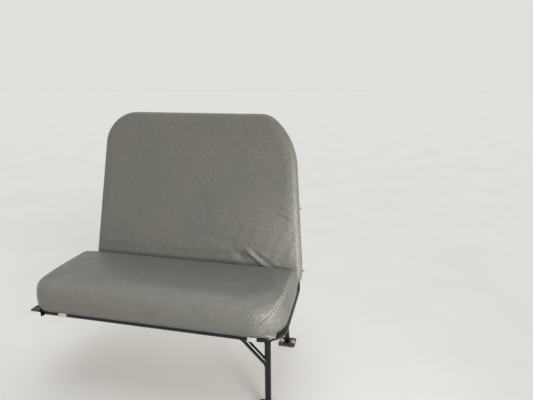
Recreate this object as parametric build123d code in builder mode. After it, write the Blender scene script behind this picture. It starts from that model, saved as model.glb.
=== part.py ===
from build123d import *
from math import atan, cos, degrees, radians, sin, tan
import os

# Passenger bench seat of a school bus, in millimetres, for two or three on the wall side of the aisle.
# X runs from the bus wall towards the aisle, Y from the seat's front to its back, and Z up.
# The origin is on the floor, in the middle of the four floor bolts of the pedestal.

# Steel tube of the frame, closed at every end and drawn solid
tube_diameter = 22.2
tube_radius = tube_diameter / 2
cope_tip = 1.5  # blunt tips of a tube end that is cut to fit round another tube

# Places of the tubes
tube_height = 277  # centre of the cross tubes above the floor
foot_pitch = 405  # front foot to rear foot
frame_depth = 333.5  # front cross tube to rear cross tube
aisle_rail_x = 45
wall_rail_x = -866
front_bend_radius = 84
upright_bend_radius = 45
upright_setback = 45  # rear cross tube to the corner where a rail turns up
recline = 18  # degrees
aisle_taper = 6.5  # degrees, the aisle side of the back leans in

# Pedestal
leg_top_x = -4
brace_reach = 90
brace_drop = 100
foot_width = 72
foot_length = 64
foot_thickness = 5
foot_corner_radius = 8
floor_bolt_spacing = 50
bolt_hole_diameter = 10.5

# Wall brackets
bracket_width = 40
bracket_thickness = 4
bracket_reach = 48
bracket_corner_radius = 6
wall_bolt_inset = 20

# Clips and hooks between cushion and frame
seat_clearance = 0.3
saddle_thickness = 3
clip_width = 32
clip_drop = 6  # clip's legs below the tube's centre
clip_flange = 34
clip_wall_inset = 74  # in from the wall rail; the other clip ends at the front bend
hook_width = 30
hook_reach = 70
hook_tongue = 8
hook_aisle_inset = 197
hook_wall_inset = 146

# Cushion
front_overhang = 22.5  # past the centre of the front tube
aisle_overhang = 6
wall_overhang = 64
aisle_corner_radius = 115
wall_corner_radius = 85
rear_corner_radius = 24
cushion_edge_radius = 30
foam_thickness = 84  # at the rim
cushion_crown = 11  # rise of the top inside its rounded rim
crown_run = 34  # rim to the place where the rise ends
cover_wrap = 6  # cover and foam outside the board's edge
board_thickness = 12
hem_thickness = 1.2
hem_inset = 2
hem_width = 43
least_corner_radius = 5

# Back
cushion_gap = 12.5
upright_depth = 50  # front face of the back to the uprights' centre
back_thickness = 88
back_edge_radius = 24
back_base = 59  # lower edge, up the slope from the tubes' centre
back_top = 758
back_aisle_overhang = 18
back_wall_overhang = 18
shoulder_radius = 300
shoulder_run = 7  # straight between the shoulder's arc and the crown's
shoulder_slope = 46.8  # degrees, that straight leans from the upright
crown_radius = 95
wall_shoulder_radius = 145
socket_depth = 45
socket_clearance = 0.2

# Worked out from the sizes above
front_tube_y = -foot_pitch / 2
rear_tube_y = front_tube_y + frame_depth
upright_y = rear_tube_y + upright_setback
bend_start_x = aisle_rail_x - front_bend_radius
bracket_face_x = wall_rail_x - tube_radius
seat_front_y = front_tube_y - front_overhang
seat_aisle_x = aisle_rail_x + aisle_overhang
seat_wall_x = wall_rail_x - wall_overhang
tube_top = tube_height + tube_radius
hem_bottom = tube_top + seat_clearance + saddle_thickness
board_bottom = hem_bottom + hem_thickness
cushion_top = board_bottom + board_thickness + foam_thickness
slope = Vector(0, sin(radians(recline)), cos(radians(recline)))
back_origin_y = upright_y - upright_depth / cos(radians(recline))
back_plane = Plane(
    origin=(0, back_origin_y, tube_height),
    x_dir=(1, 0, 0),
    z_dir=(0, -cos(radians(recline)), sin(radians(recline))),
)


def on_slope(start, distance, sideways=0.0):
    """Point up the recline from a start point, moved sideways by so much for each millimetre."""
    return Vector(*start) + (slope + Vector(sideways, 0, 0)) * distance


def towards(start, end, distance):
    """Point on the way from start to end, at a distance from start."""
    return start + (end - start).normalized() * distance


def round_bar(points, bends=()):
    """Round bar of the tube's size along straight runs, joined by arcs of the given radii."""
    with BuildPart() as bar:
        with BuildLine() as path:
            if bends:
                FilletPolyline(*points, radius=list(bends))
            else:
                Line(*points)
        with BuildSketch(Plane(origin=path.line @ 0, z_dir=path.line % 0)):
            Circle(tube_radius)
        sweep()
    return bar.part


def save(piece, name):
    """Label a finished piece and write its STEP file."""
    piece.part.label = name
    export_step(piece.part, f"parts/{name}.step")


os.makedirs("parts", exist_ok=True)

# Seat frame: one tube, across the front, round the aisle corner, back, and up into the back
socket_top = back_base + socket_depth
aisle_lean = -tan(radians(aisle_taper))
front_corner = (aisle_rail_x, front_tube_y, tube_height)
aisle_corner = (aisle_rail_x, upright_y, tube_height)
frame_end = (bracket_face_x, front_tube_y, tube_height)
frame_bar = round_bar(
    [frame_end, front_corner, aisle_corner, on_slope(aisle_corner, socket_top, aisle_lean)],
    bends=[front_bend_radius, upright_bend_radius],
)
with BuildPart() as seat_frame_tube:
    add(frame_bar)
save(seat_frame_tube, "seat_frame_tube")

# Wall rail: coped on the front tube, bent up behind like the aisle side
wall_corner = (wall_rail_x, upright_y, tube_height)
rail_bar = round_bar(
    [
        (wall_rail_x, front_tube_y + cope_tip, tube_height),
        wall_corner,
        on_slope(wall_corner, socket_top),
    ],
    bends=[upright_bend_radius],
)
front_run_bar = round_bar(
    [
        (bracket_face_x - tube_diameter, front_tube_y, tube_height),
        (bend_start_x, front_tube_y, tube_height),
    ]
)
with BuildPart() as wall_rail_tube:
    add(rail_bar)
    add(front_run_bar, mode=Mode.SUBTRACT)
save(wall_rail_tube, "wall_rail_tube")

# Rear cross tube: coped between the two rails
cross_bar = round_bar(
    [
        (wall_rail_x + cope_tip, rear_tube_y, tube_height),
        (aisle_rail_x - cope_tip, rear_tube_y, tube_height),
    ]
)
with BuildPart() as rear_cross_tube:
    add(cross_bar)
    add(frame_bar, mode=Mode.SUBTRACT)
    add(rail_bar, mode=Mode.SUBTRACT)
save(rear_cross_tube, "rear_cross_tube")

# Pedestal: a leg, a knee brace and a foot plate under each cross tube
past_bend_start = max(leg_top_x - bend_start_x, 0)
leg_on_bend_y = front_tube_y + front_bend_radius - (front_bend_radius**2 - past_bend_start**2) ** 0.5
pedestal_rows = [
    # name, leg top's y, brace top's y, foot's y, tube above
    ("front", leg_on_bend_y, front_tube_y, -foot_pitch / 2, frame_bar),
    ("rear", rear_tube_y, rear_tube_y, foot_pitch / 2, cross_bar),
]
for side, leg_y, brace_y, foot_y, tube_above in pedestal_rows:
    leg_top = Vector(leg_top_x, leg_y, tube_height)
    leg_foot = Vector(0, foot_y, 0)
    brace_top = Vector(leg_top_x - brace_reach, brace_y, tube_height)
    knee = leg_top + (leg_foot - leg_top) * (brace_drop / tube_height)
    leg_bar = round_bar([towards(leg_top, leg_foot, cope_tip), leg_foot])
    brace_bar = round_bar([towards(brace_top, knee, cope_tip), towards(knee, brace_top, cope_tip)])

    with BuildPart() as leg:
        add(leg_bar)
        add(tube_above, mode=Mode.SUBTRACT)
        split(bisect_by=Plane.XY.offset(foot_thickness), keep=Keep.TOP)
    save(leg, f"{side}_leg")

    with BuildPart() as brace:
        add(brace_bar)
        add(tube_above, mode=Mode.SUBTRACT)
        add(leg_bar, mode=Mode.SUBTRACT)
    save(brace, f"{side}_brace")

    with BuildPart() as foot_plate:
        with BuildSketch(Plane((0, foot_y, 0))):
            RectangleRounded(foot_width, foot_length, foot_corner_radius)
            with GridLocations(floor_bolt_spacing, 0, 2, 1):
                Circle(bolt_hole_diameter / 2, mode=Mode.SUBTRACT)
        extrude(amount=foot_thickness)
    save(foot_plate, f"{side}_foot_plate")

# Wall brackets: angles welded to the frame's wall end, with a bolt down into the wall's rail
wall_bolt_x = bracket_face_x - bracket_reach + wall_bolt_inset
for side, bracket_y in (("front", front_tube_y), ("rear", rear_tube_y)):
    with BuildPart() as wall_bracket:
        with BuildSketch(Plane((bracket_face_x, bracket_y, tube_top), x_dir=(1, 0, 0), z_dir=(0, -1, 0))):
            with BuildLine():
                Polyline(
                    (0, 0),
                    (-bracket_reach, 0),
                    (-bracket_reach, -bracket_thickness),
                    (-bracket_thickness, -bracket_thickness),
                    (-bracket_thickness, -tube_diameter),
                    (0, -tube_diameter),
                    close=True,
                )
            make_face()
        extrude(amount=bracket_width / 2, both=True)
        outer_corners = wall_bracket.edges().filter_by(Axis.Z).group_by(Axis.X)[0]
        fillet(outer_corners, radius=bracket_corner_radius)
        with Locations((wall_bolt_x, bracket_y, tube_top)):
            Hole(bolt_hole_diameter / 2, depth=bracket_thickness)
    save(wall_bracket, f"wall_bracket_{side}")

# Back: one padded panel over the two uprights, its aisle side leaning in to a round shoulder
back_aisle_x = aisle_rail_x + back_aisle_overhang
back_wall_x = wall_rail_x - back_wall_overhang
shoulder_tangent = shoulder_radius * tan(radians(shoulder_slope - aisle_taper) / 2)
crown_tangent = crown_radius * tan(radians(90 - shoulder_slope) / 2)
slanted_run = shoulder_tangent + shoulder_run + crown_tangent
shoulder_height = back_top - slanted_run * cos(radians(shoulder_slope))
shoulder_x = back_aisle_x - (shoulder_height - back_base) * tan(radians(aisle_taper))
crown_x = shoulder_x - slanted_run * sin(radians(shoulder_slope))
back_outline = [
    # point, radius of the corner there
    ((back_aisle_x, back_base), None),
    ((shoulder_x, shoulder_height), shoulder_radius),
    ((crown_x, back_top), crown_radius),
    ((back_wall_x, back_top), wall_shoulder_radius),
    ((back_wall_x, back_base), None),
]
upright_rows = [
    # foot of the upright, sideways lean for each millimetre up the slope
    (aisle_corner, aisle_lean),
    (wall_corner, 0),
]
with BuildPart() as back_pad:
    with BuildSketch(back_plane):
        with BuildLine():
            over_the_top = FilletPolyline(
                *[point for point, radius in back_outline],
                radius=[radius for point, radius in back_outline if radius],
            )
            Line(over_the_top @ 1, over_the_top @ 0)
        make_face()
    extrude(amount=-back_thickness)
    flat_faces = back_pad.faces().sort_by(Axis((0, 0, 0), back_plane.z_dir))
    base_corners = back_pad.faces().sort_by(Axis.Z)[0].edges().filter_by(Axis((0, 0, 0), back_plane.z_dir))
    fillet(flat_faces[0].edges() + flat_faces[-1].edges() + base_corners, radius=back_edge_radius)
    for foot, lean in upright_rows:
        socket_direction = slope + Vector(lean, 0, 0)
        with BuildSketch(Plane(origin=foot, z_dir=socket_direction)):
            Circle(tube_radius + socket_clearance)
        extrude(amount=socket_direction.length * socket_top, mode=Mode.SUBTRACT)
save(back_pad, "back_pad")


def rear_face_y(height):
    """Where the cushion ends at a height, a constant gap in front of the reclined back."""
    behind = (height - tube_height) * tan(radians(recline))
    return back_origin_y + behind - cushion_gap / cos(radians(recline))


def cushion_plan(height, inset, rear_y):
    """Plan of the cushion at a height, drawn in from its edge, as far back as rear_y."""
    wall_x = seat_wall_x + inset
    aisle_x = seat_aisle_x - inset
    front_y = seat_front_y + inset
    radii = [rear_corner_radius, wall_corner_radius, aisle_corner_radius, rear_corner_radius]
    with BuildSketch(Plane.XY.offset(height)) as plan:
        with BuildLine():
            FilletPolyline(
                (wall_x, rear_y),
                (wall_x, front_y),
                (aisle_x, front_y),
                (aisle_x, rear_y),
                radius=[max(radius - inset, least_corner_radius) for radius in radii],
                close=True,
            )
        make_face()
    return plan.sketch


# Cushion board: plywood, its edges inside the cover
with BuildPart() as cushion_board:
    add(cushion_plan(board_bottom, cover_wrap, rear_face_y(board_bottom) - cover_wrap))
    extrude(amount=board_thickness)
save(cushion_board, "cushion_board")

# Cushion pad: foam and cover round the board, crowned, its rear face along the slope of the back
with BuildPart() as cushion_pad:
    add(cushion_plan(board_bottom, 0, rear_face_y(cushion_top) + 2 * rear_corner_radius))
    extrude(amount=cushion_top - board_bottom)
    rear_face = Plane(
        origin=(0, rear_face_y(tube_height), tube_height),
        z_dir=back_plane.z_dir,
    )
    split(bisect_by=rear_face, keep=Keep.TOP)
    top_edges = cushion_pad.faces().sort_by(Axis.Z)[-1].edges()
    rear_side_edges = cushion_pad.faces().sort_by(Axis.Y)[-1].edges().sort_by(Axis.Z)[1:3]
    fillet(top_edges + rear_side_edges, radius=cushion_edge_radius)
    top_face = cushion_pad.faces().sort_by(Axis.Z)[-1]
    extrude(top_face, amount=cushion_crown, taper=degrees(atan(crown_run / cushion_crown)))
    add(cushion_board.part, mode=Mode.SUBTRACT)
save(cushion_pad, "cushion_pad")

# Cover hem: the cover's edge turned under the board and stapled there
hem_inner = hem_inset + hem_width
with BuildPart() as cushion_cover_hem:
    add(cushion_plan(hem_bottom, hem_inset, rear_face_y(hem_bottom) - hem_inset))
    extrude(amount=hem_thickness)
    add(cushion_plan(hem_bottom, hem_inner, rear_face_y(hem_bottom) - hem_inner))
    extrude(amount=hem_thickness, mode=Mode.SUBTRACT)
save(cushion_cover_hem, "cushion_cover_hem")

# Clips: moulded saddles that drop over the front tube, their flanges under the board
saddle_inner = tube_radius + seat_clearance
saddle_outer = saddle_inner + saddle_thickness
clip_rows = [
    # name, centre's x
    ("aisle", bend_start_x - clip_width / 2),
    ("wall", wall_rail_x + clip_wall_inset),
]
for side, clip_x in clip_rows:
    with BuildPart() as clip:
        with BuildSketch(Plane((clip_x, front_tube_y, tube_height), x_dir=(0, 1, 0), z_dir=(1, 0, 0))):
            Circle(saddle_outer)
            Rectangle(2 * saddle_outer, clip_drop, align=(Align.CENTER, Align.MAX))
            with Locations((0, saddle_inner)):
                Rectangle(clip_flange, saddle_thickness, align=(Align.MIN, Align.MIN))
            Circle(saddle_inner, mode=Mode.SUBTRACT)
            Rectangle(2 * saddle_inner, saddle_outer, align=(Align.CENTER, Align.MAX), mode=Mode.SUBTRACT)
            with Locations((0, -clip_drop)):
                Rectangle(
                    2 * saddle_outer,
                    saddle_outer,
                    align=(Align.CENTER, Align.MAX),
                    mode=Mode.SUBTRACT,
                )
        extrude(amount=clip_width / 2, both=True)
    save(clip, f"clip_{side}")

# Rear hooks: straps under the board that curl round the front of the rear cross tube
hook_rows = [
    # name, centre's x
    ("aisle", aisle_rail_x - hook_aisle_inset),
    ("wall", wall_rail_x + hook_wall_inset),
]
for side, hook_x in hook_rows:
    with BuildPart() as rear_hook:
        with BuildSketch(Plane((hook_x, rear_tube_y, tube_height), x_dir=(0, 1, 0), z_dir=(1, 0, 0))):
            Circle(saddle_outer)
            Circle(saddle_inner, mode=Mode.SUBTRACT)
            Rectangle(saddle_outer, 2 * saddle_outer, align=(Align.MIN, Align.CENTER), mode=Mode.SUBTRACT)
            with Locations((hook_tongue, saddle_inner)):
                Rectangle(hook_reach + hook_tongue, saddle_thickness, align=(Align.MAX, Align.MIN))
            with Locations((0, -saddle_outer)):
                Rectangle(hook_tongue, saddle_thickness, align=(Align.MIN, Align.MIN))
        extrude(amount=hook_width / 2, both=True)
    save(rear_hook, f"rear_hook_{side}")
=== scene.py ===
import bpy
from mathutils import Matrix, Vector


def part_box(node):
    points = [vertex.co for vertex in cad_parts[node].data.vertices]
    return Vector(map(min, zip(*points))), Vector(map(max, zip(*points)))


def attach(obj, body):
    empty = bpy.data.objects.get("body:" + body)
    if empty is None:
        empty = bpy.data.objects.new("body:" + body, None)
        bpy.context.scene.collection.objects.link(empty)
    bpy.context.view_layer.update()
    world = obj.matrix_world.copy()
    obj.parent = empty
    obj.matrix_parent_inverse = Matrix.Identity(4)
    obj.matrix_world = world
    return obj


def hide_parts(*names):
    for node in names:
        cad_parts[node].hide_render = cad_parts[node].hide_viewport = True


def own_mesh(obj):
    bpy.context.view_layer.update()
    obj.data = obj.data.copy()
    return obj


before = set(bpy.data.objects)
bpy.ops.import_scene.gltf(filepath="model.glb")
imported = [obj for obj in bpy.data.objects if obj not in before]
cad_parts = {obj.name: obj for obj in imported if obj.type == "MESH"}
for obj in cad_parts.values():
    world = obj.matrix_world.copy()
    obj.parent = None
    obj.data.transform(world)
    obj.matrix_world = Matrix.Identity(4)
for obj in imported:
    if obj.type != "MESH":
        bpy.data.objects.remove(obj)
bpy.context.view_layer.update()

import bpy
import numpy as np
from mathutils import Vector
from mathutils.bvhtree import BVHTree

# Camera
# A passenger bench of a school bus, in metres: X runs from the bus wall to the aisle, Y from the seat's
# front to its back, and Z up from the floor. The camera stands in the aisle and looks back over the seat.
CAMERA_PLACE = (0.269, -1.4515, 1.133)
# Degrees below level, and to the left of straight ahead
CAMERA_DOWN = 15.7
CAMERA_LEFT = 12.44
IMAGE_WIDTH = 533
FOCAL_PIXELS = 428
SENSOR = 36

camera = bpy.data.objects.new("camera", bpy.data.cameras.new("camera"))
camera.data.sensor_width = SENSOR
camera.data.lens = SENSOR * FOCAL_PIXELS / IMAGE_WIDTH
camera.location = CAMERA_PLACE
camera.rotation_euler = np.radians((90 - CAMERA_DOWN, 0, CAMERA_LEFT))
bpy.context.scene.collection.objects.link(camera)
bpy.context.scene.camera = camera
bpy.context.scene.view_settings.view_transform = "Standard"

# Foot plates and floor bolts
# Two plates of 5 mm mild steel under the pedestal's legs, once painted, now rusty from wet shoes.
# Each is held down by two zinc-plated 3/8 in hex bolts, with a washer under each head.
MM = 0.001
BOLT_SPACING = 50 * MM
BOLT_FLATS = 14.3 * MM
BOLT_HEAD = 6 * MM
WASHER_RADIUS = 11 * MM
WASHER_THICKNESS = 1.6 * MM
WASHER_ROUNDING = 0.4 * MM
BOLT_POINTS = 36


def srgb(code):
    """Linear colour of an sRGB hex code: c / 12.92 up to 0.04045, else ((c + 0.055) / 1.055) ** 2.4."""
    channels = np.array([int(code[i : i + 2], 16) for i in (1, 3, 5)]) / 255
    linear = np.where(channels < 0.04045, channels / 12.92, ((channels + 0.055) / 1.055) ** 2.4)
    return (*linear.tolist(), 1.0)


def plug(holder, value, socket):
    """Sets a socket to a value, or links it to another socket or to a node's first output."""
    if isinstance(value, bpy.types.Node):
        value = value.outputs[0]
    if isinstance(value, bpy.types.NodeSocket):
        holder.node_tree.links.new(value, socket)
    else:
        socket.default_value = value


def add_node(holder, kind, links=(), stops=(), **settings):
    """Adds one shader node with its sockets' values or links, its colour stops and its settings."""
    node = holder.node_tree.nodes.new("ShaderNode" + kind)
    for name, value in settings.items():
        setattr(node, name, value)
    for socket, value in dict(links).items():
        plug(holder, value, node.inputs[socket])
    for index, (place, colour) in enumerate(stops):
        elements = node.color_ramp.elements
        stop = elements[index] if index < len(elements) else elements.new(place)
        stop.position = place
        stop.color = srgb(colour)
    return node


def feed(material, **sockets):
    """Sets or links the named sockets of a material's surface shader, Base_Color for Base Color."""
    shader = material.node_tree.nodes["Principled BSDF"]
    for socket, value in sockets.items():
        plug(material, value, shader.inputs[socket.replace("_", " ")])


def make_material(name, **sockets):
    """A material with plain values set on its surface shader's own sockets."""
    material = bpy.data.materials.new(name)
    material.use_nodes = True
    feed(material, **sockets)
    return material


def noise(material, size_mm, stretch=(1, 1, 1), detail=3.0):
    """Noise on the piece's own coordinates, with features about size_mm across, longer where stretched."""
    place = add_node(material, "TexCoord").outputs["Object"]
    scale = tuple(1 / (size_mm * MM * along) for along in stretch)
    spread = add_node(material, "Mapping", {"Vector": place, "Scale": scale})
    return add_node(material, "TexNoise", {"Vector": spread, "Scale": 1.0, "Detail": detail})


def coat(name, material):
    """Gives a solid of the frame its material."""
    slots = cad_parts[name].data.materials
    slots.clear()
    slots.append(material)


def span(name):
    """Low corner, middle and high corner of a solid of the frame."""
    low, high = np.array(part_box(name))
    return low, (low + high) / 2, high


def circle(count):
    """Angles spaced evenly all the way round."""
    return np.linspace(0, 2 * np.pi, count, endpoint=False)


def make_mesh(name, vertices, faces, material, smooth=True):
    """A mesh object from an array of points and a list of faces."""
    mesh = bpy.data.meshes.new(name)
    mesh.from_pydata(np.asarray(vertices, float).reshape(-1, 3).tolist(), [], faces)
    mesh.polygons.foreach_set("use_smooth", [smooth] * len(mesh.polygons))
    mesh.materials.append(material)
    mesh.update()
    made = bpy.data.objects.new(name, mesh)
    bpy.context.scene.collection.objects.link(made)
    return made


def ring_faces(rows, columns, first=0):
    """Quads between rings of points, each ring closed, with a cap on the first and the last ring."""
    row, column = np.meshgrid(np.arange(rows - 1), np.arange(columns), indexing="ij")
    beside = (column + 1) % columns
    corners = [row * columns + column, row * columns + beside]
    corners += [(row + 1) * columns + beside, (row + 1) * columns + column]
    faces = (np.stack(corners, -1).reshape(-1, 4) + first).tolist()
    faces.append(list(range(first + columns - 1, first - 1, -1)))
    faces.append(list(range(first + (rows - 1) * columns, first + rows * columns)))
    return faces


def many(shapes):
    """Joins shapes, each an array of rings of points, into one array of points and one list of faces."""
    vertices = []
    faces = []
    count = 0
    for rings in shapes:
        rows, columns = rings.shape[:2]
        faces += ring_faces(rows, columns, count)
        vertices.append(rings.reshape(-1, 3))
        count += rows * columns
    return np.concatenate(vertices), faces


def hex_bolt(place):
    """Rings of a washer and a hex head.

    The radius of a hexagon is half the width over its flats / cos(angle from the middle of a flat). The
    head's corners are cut back over the top of its height, and its top is round.
    """
    angle = circle(BOLT_POINTS)
    hexagon = BOLT_FLATS / 2 / np.cos((angle + np.pi / 6) % (np.pi / 3) - np.pi / 6)
    cut_back = np.minimum(hexagon, BOLT_FLATS * 0.52)
    round_top = np.full(BOLT_POINTS, BOLT_FLATS * 0.46)
    washer = np.full(BOLT_POINTS, WASHER_RADIUS)
    radii = [washer, washer, washer - WASHER_ROUNDING, hexagon, hexagon, cut_back, round_top]
    seat = WASHER_THICKNESS
    heights = [-0.1 * MM, seat - WASHER_ROUNDING, seat, seat]
    heights += [seat + share * BOLT_HEAD for share in (0.85, 0.93, 1)]
    rings = [
        np.stack([radius * np.cos(angle), radius * np.sin(angle), np.full(BOLT_POINTS, height)], -1)
        for radius, height in zip(radii, heights)
    ]
    return np.array(rings) + np.array(place)


# Mild steel, flame-cut and rusted: brown patches over the last of its black paint, rough with fine grit
rusty_steel = make_material("rusty_mild_steel", Roughness=0.8)
patches = [(0.38, "#272120"), (0.52, "#4d3d38"), (0.66, "#6f564d")]
rust = add_node(rusty_steel, "ValToRGB", {"Fac": noise(rusty_steel, 14)}, patches)
pitting = {"Height": noise(rusty_steel, 1.5), "Distance": 0.5 * MM, "Strength": 0.8}
grit = add_node(rusty_steel, "Bump", pitting)
feed(rusty_steel, Base_Color=rust, Normal=grit)

# Steel, zinc-plated and dulled: a grey metal with cloudy stains
zinc_steel = make_material("zinc_plated_steel", Roughness=0.42, Metallic=1.0)
stains = [(0.35, "#8d8a84"), (0.6, "#bdbab2")]
plating = add_node(zinc_steel, "ValToRGB", {"Fac": noise(zinc_steel, 6)}, stains)
feed(zinc_steel, Base_Color=plating)

for name in ("front_foot_plate", "rear_foot_plate"):
    coat(name, rusty_steel)
    _, middle, high = span(name)
    bolts = [hex_bolt((middle[0] + side * BOLT_SPACING / 2, middle[1], high[2])) for side in (-1, 1)]
    floor_bolts = make_mesh(name.replace("foot_plate", "floor_bolts"), *many(bolts), zinc_steel, smooth=False)
    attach(floor_bolts, "frame")

# Frame
# Steel tube of 7/8 in, bent and coped at its ends, then welded and painted gloss black.
# The pedestal's legs and knee braces and the two wall brackets are welded on the same way.
TUBE_RADIUS = 11.1 * MM
TUBE_HEIGHT = 277 * MM
LEG_TOP_X = -4 * MM
FRONT_BEND_RADIUS = 84 * MM
AISLE_RAIL_X = 45 * MM
WALL_RAIL_X = -866 * MM
BRACE_REACH = 90 * MM
BRACE_DROP = 100 * MM
RECLINE = np.radians(18)
WELD_RADIUS = 2.4 * MM
WELD_RIPPLE = 3 * MM
WELD_POINTS = 96
BEAD_POINTS = 8
BRACKET_WELD_INSET = 6 * MM
FOOT_TOP = span("front_foot_plate")[2][2]
FRONT_Y = span("front_foot_plate")[1][1]
REAR_Y = span("rear_cross_tube")[1][1]
REAR_FOOT_Y = -FRONT_Y
BEYOND_REAR_Y = REAR_Y + 60 * MM
BRACKET_FACE_X = WALL_RAIL_X - TUBE_RADIUS

# Gloss black enamel: thin, a little wavy, dusty and scuffed where shoes and hands rub it
black_enamel = make_material("gloss_black_enamel", Roughness=0.2, Specular_IOR_Level=0.4)
blacks = [(0.4, "#050506"), (0.62, "#0b0b0d"), (0.76, "#1b1a19")]
dust = add_node(black_enamel, "ValToRGB", {"Fac": noise(black_enamel, 30)}, blacks)
rubbing = {"Value": noise(black_enamel, 9, stretch=(1, 1, 4)), "From Min": 0.45, "From Max": 0.75}
scuffs = add_node(black_enamel, "MapRange", {**rubbing, "To Min": 0.08, "To Max": 0.22})
waviness = {"Height": noise(black_enamel, 5), "Distance": 0.15 * MM, "Strength": 0.5}
peel = add_node(black_enamel, "Bump", waviness)
feed(black_enamel, Base_Color=dust, Roughness=scuffs, Normal=peel)

for name in (
    "seat_frame_tube", "wall_rail_tube", "rear_cross_tube", "front_leg", "rear_leg",
    "front_brace", "rear_brace", "wall_bracket_front", "wall_bracket_rear",
):
    coat(name, black_enamel)


def unit(vectors):
    """Vectors of the same directions, each 1 long."""
    return vectors / np.linalg.norm(vectors, axis=-1, keepdims=True)


def run_lengths(path):
    """How far along a path of straight runs each of its points lies."""
    return np.concatenate([[0], np.cumsum(np.linalg.norm(np.diff(path, axis=0), axis=1))])


def tube_ring(centre, direction):
    """Points of a tube's surface round its centre, square to its direction."""
    along = unit(direction)
    first = unit(np.cross(along, (0, 0, 1) if abs(along[2]) < 0.9 else (1, 0, 0)))
    second = np.cross(along, first)
    angle = circle(WELD_POINTS)[:, None]
    return centre + TUBE_RADIUS * (np.cos(angle) * first + np.sin(angle) * second)


def bead(path, closed=True):
    """Weld bead along a path: a circle round each point, the radius rising and falling once a ripple."""
    if closed:
        tangent = np.roll(path, -1, 0) - np.roll(path, 1, 0)
        path = np.concatenate([path, path[:1]])
        tangent = np.concatenate([tangent, tangent[:1]])
    else:
        tangent = np.gradient(path, axis=0)
    tangent = unit(tangent)
    # Away from the path's middle, and a little upwards, so that a straight path has a direction too
    outward = path - path.mean(0) + (0, 0, 0.1 * MM)
    outward = unit(outward - (outward * tangent).sum(1)[:, None] * tangent)
    side = np.cross(tangent, outward)
    length = run_lengths(path)
    ripples = max(round(length[-1] / WELD_RIPPLE), 1)
    radius = WELD_RADIUS * (1 + 0.14 * np.sin(2 * np.pi * ripples * length / length[-1]))
    angle = circle(BEAD_POINTS)[:, None]
    spoke = np.cos(angle) * outward[:, None] + np.sin(angle) * side[:, None]
    return path[:, None] + radius[:, None, None] * spoke


def weld_round(start, end, other):
    """Path where a tube from start, drawn towards end, leaves another tube.

    Each line of the tube's surface is halved between its two ends until it is one radius from the other
    tube's centre line, which is given as points.
    """
    direction = unit(end - start)
    lines = tube_ring(start, direction)
    near = np.zeros(WELD_POINTS)
    far = np.full(WELD_POINTS, 4 * TUBE_RADIUS)
    for _ in range(16):
        half = (near + far) / 2
        points = lines + half[:, None] * direction
        distance = np.linalg.norm(points[:, None] - other[None], axis=2).min(1)
        outside = distance > TUBE_RADIUS
        far = np.where(outside, half, far)
        near = np.where(outside, near, half)
    return lines + far[:, None] * direction


def straight(start, end, count=400):
    """Evenly spaced points on the way from start to end."""
    share = np.linspace(0, 1, count)[:, None]
    return np.asarray(start) * (1 - share) + np.asarray(end) * share


bend_centre = np.array([AISLE_RAIL_X - FRONT_BEND_RADIUS, FRONT_Y + FRONT_BEND_RADIUS, TUBE_HEIGHT])
turn = np.linspace(-np.pi / 2, 0, 300)[:, None]
front_bend = bend_centre + FRONT_BEND_RADIUS * np.concatenate([np.cos(turn), np.sin(turn), 0 * turn], 1)
front_run = straight((BRACKET_FACE_X, FRONT_Y, TUBE_HEIGHT), (bend_centre[0], FRONT_Y, TUBE_HEIGHT), 1600)
rear_run = straight((WALL_RAIL_X, REAR_Y, TUBE_HEIGHT), (AISLE_RAIL_X, REAR_Y, TUBE_HEIGHT), 1600)
wall_rail = straight((WALL_RAIL_X, FRONT_Y, TUBE_HEIGHT), (WALL_RAIL_X, BEYOND_REAR_Y, TUBE_HEIGHT))
aisle_rail = straight((AISLE_RAIL_X, 0, TUBE_HEIGHT), (AISLE_RAIL_X, BEYOND_REAR_Y, TUBE_HEIGHT))
into_bend = LEG_TOP_X - bend_centre[0]
leg_on_bend_y = bend_centre[1] - (FRONT_BEND_RADIUS**2 - into_bend**2) ** 0.5
PEDESTAL = [
    # leg top's y, brace top's y, foot's y, tube over the leg, tube over the brace
    (leg_on_bend_y, FRONT_Y, FRONT_Y, front_bend, front_run),
    (REAR_Y, REAR_Y, REAR_FOOT_Y, rear_run, rear_run),
]
welds = [
    bead(weld_round(wall_rail[0], wall_rail[-1], front_run)),
    bead(weld_round(rear_run[0], rear_run[-1], wall_rail)),
    bead(weld_round(rear_run[-1], rear_run[0], aisle_rail)),
]
for leg_y, brace_y, foot_y, over_leg, over_brace in PEDESTAL:
    leg_top = np.array([LEG_TOP_X, leg_y, TUBE_HEIGHT])
    foot = np.array([0, foot_y, 0])
    brace_top = np.array([LEG_TOP_X - BRACE_REACH, brace_y, TUBE_HEIGHT])
    knee = leg_top + (foot - leg_top) * BRACE_DROP / TUBE_HEIGHT
    welds.append(bead(weld_round(leg_top, foot, over_leg)))
    welds.append(bead(weld_round(brace_top, knee, over_brace)))
    welds.append(bead(weld_round(knee, brace_top, straight(leg_top, foot))))
    # The leg's ring at the plate, each point slid down the leg until it lies on the plate
    ring = tube_ring(leg_top + (foot - leg_top) * (1 - FOOT_TOP / TUBE_HEIGHT), foot - leg_top)
    ring += (foot - leg_top) * ((ring[:, 2:] - FOOT_TOP) / TUBE_HEIGHT)
    welds.append(bead(ring))
for bracket in ("wall_bracket_front", "wall_bracket_rear"):
    low, _, high = span(bracket)
    for level in (-0.8, 0.8):
        height = TUBE_HEIGHT + level * TUBE_RADIUS
        along = (low[1] + BRACKET_WELD_INSET, high[1] - BRACKET_WELD_INSET)
        ends = [(BRACKET_FACE_X + 1 * MM, y, height) for y in along]
        welds.append(bead(straight(*ends, 60), closed=False))
frame_welds = make_mesh("frame_welds", *many(welds), black_enamel)
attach(frame_welds, "frame")

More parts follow.
